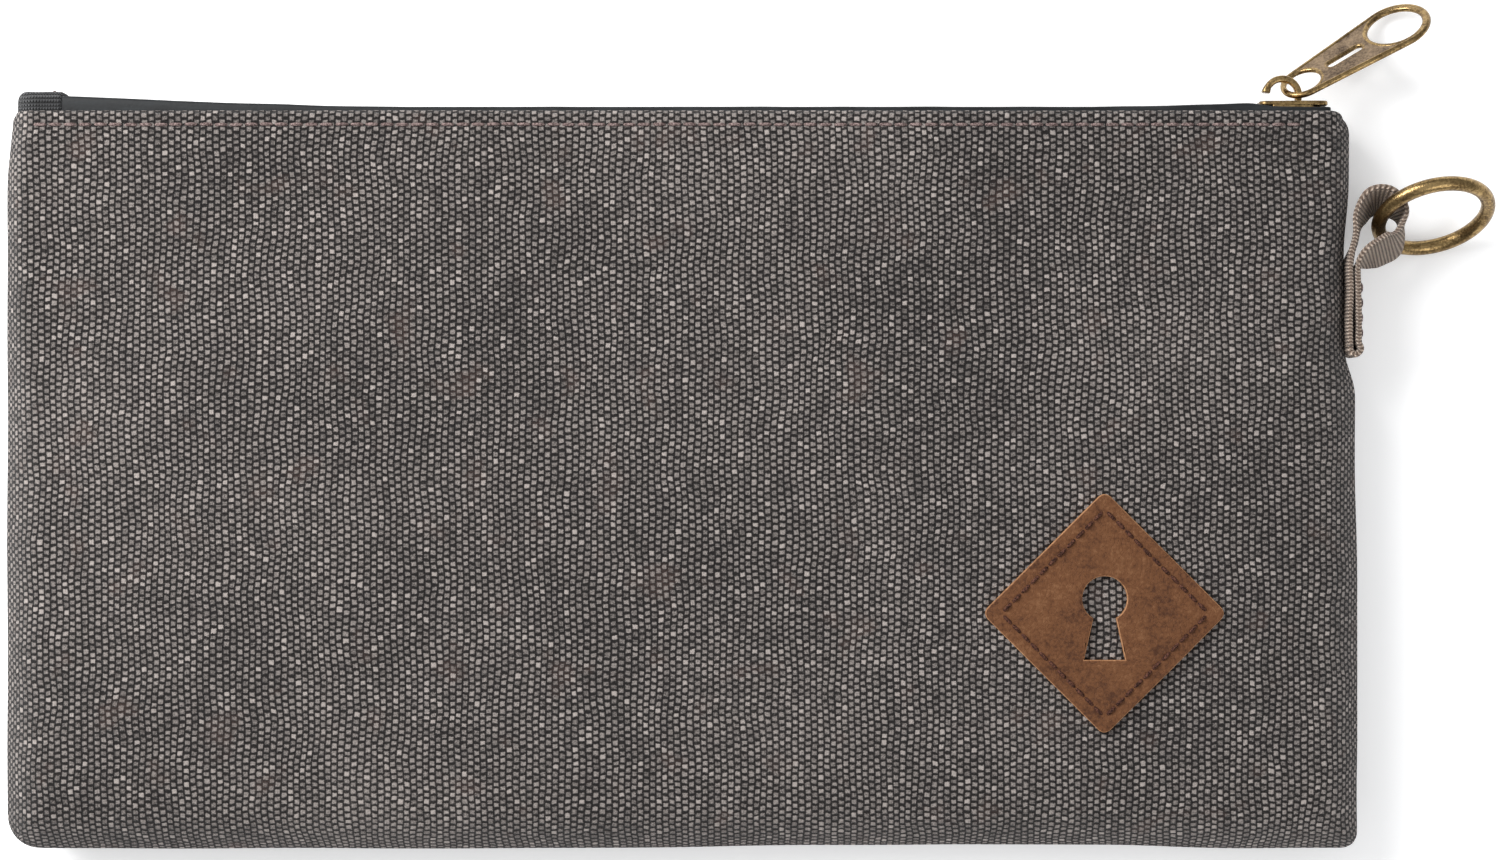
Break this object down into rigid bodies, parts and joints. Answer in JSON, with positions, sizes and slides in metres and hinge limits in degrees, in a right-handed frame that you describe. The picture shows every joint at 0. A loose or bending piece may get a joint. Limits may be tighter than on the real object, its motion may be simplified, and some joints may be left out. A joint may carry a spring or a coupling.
{
  "type": "cash deposit bag",
  "caption": "Flat zipped canvas bag with a leather patch, a swinging puller and a webbing hanger with a ring; the mouth opens as the slider moves.",
  "frame": {"origin": "middle of the flat back face that the bag lies on", "axes": "+X to the bag's right along the zip, +Y towards the mouth, +Z out of the front face"},
  "size_m": [0.3078, 0.1759, 0.0256],
  "materials": {
    "canvas": "heathered plain weave canvas",
    "lining": "dark woven lining",
    "zip_tape": "smooth coated tape",
    "coil": "black nylon",
    "brass": "antique, satin",
    "black_webbing": "ribbed webbing",
    "webbing": "ribbed webbing",
    "leather": "waxed, mottled",
    "brown_thread": "sewing thread",
    "grey_thread": "sewing thread"
  },
  "bodies": {
    "bag": {"back_panel": "canvas", "back_lining": "lining", "zipper_tape_back": "zip_tape", "zipper_coil_back": "coil", "zipper_top_stop_back": "brass", "zipper_bottom_stop": "brass", "zipper_end_tab": "black_webbing", "end_tab_thread": "grey_thread", "hanger_webbing": "webbing", "hanger_thread": "grey_thread", "hem_thread_back": "grey_thread"},
    "front": {"front_panel": "canvas", "front_lining": "lining", "zipper_tape_front": "zip_tape", "zipper_coil_front": "coil", "zipper_top_stop_front": "brass", "leather_patch": "leather", "patch_thread": "brown_thread", "hem_thread_front": "grey_thread"},
    "slider": {"slider_body": "brass", "slider_bail": "brass"},
    "puller": {"puller": "brass"},
    "ring": {"hanger_ring": "brass"}
  },
  "joints": [
    {"name": "zipper_slide", "type": "slide", "parent": "bag", "child": "slider", "axis": [-1, 0, 0], "range_m": [0, 0.24], "deforming": ["zipper_tape_front", "zipper_tape_back", "zipper_coil_front", "zipper_coil_back"]},
    {"name": "mouth_open", "type": "hinge", "parent": "bag", "child": "front", "pos_m": [0, -0.0762, 0.0115], "axis": [1, 0, 0], "range_deg": [0, 12]},
    {"name": "puller_swing", "type": "hinge", "parent": "slider", "child": "puller", "pos_m": [0.124, 0.0797, 0.0115], "axis": [0, 0, 1], "range_deg": [0, 108]},
    {"name": "ring_swing", "type": "hinge", "parent": "bag", "child": "ring", "pos_m": [0.1439, 0.0527, 0.012], "axis": [-0.09, 0.5122, 0.8542], "range_deg": [-14, 14]}
  ],
  "couplings": [
    {"joint": "mouth_open", "follows": "zipper_slide", "rad_per_m": 0.8726}
  ]
}
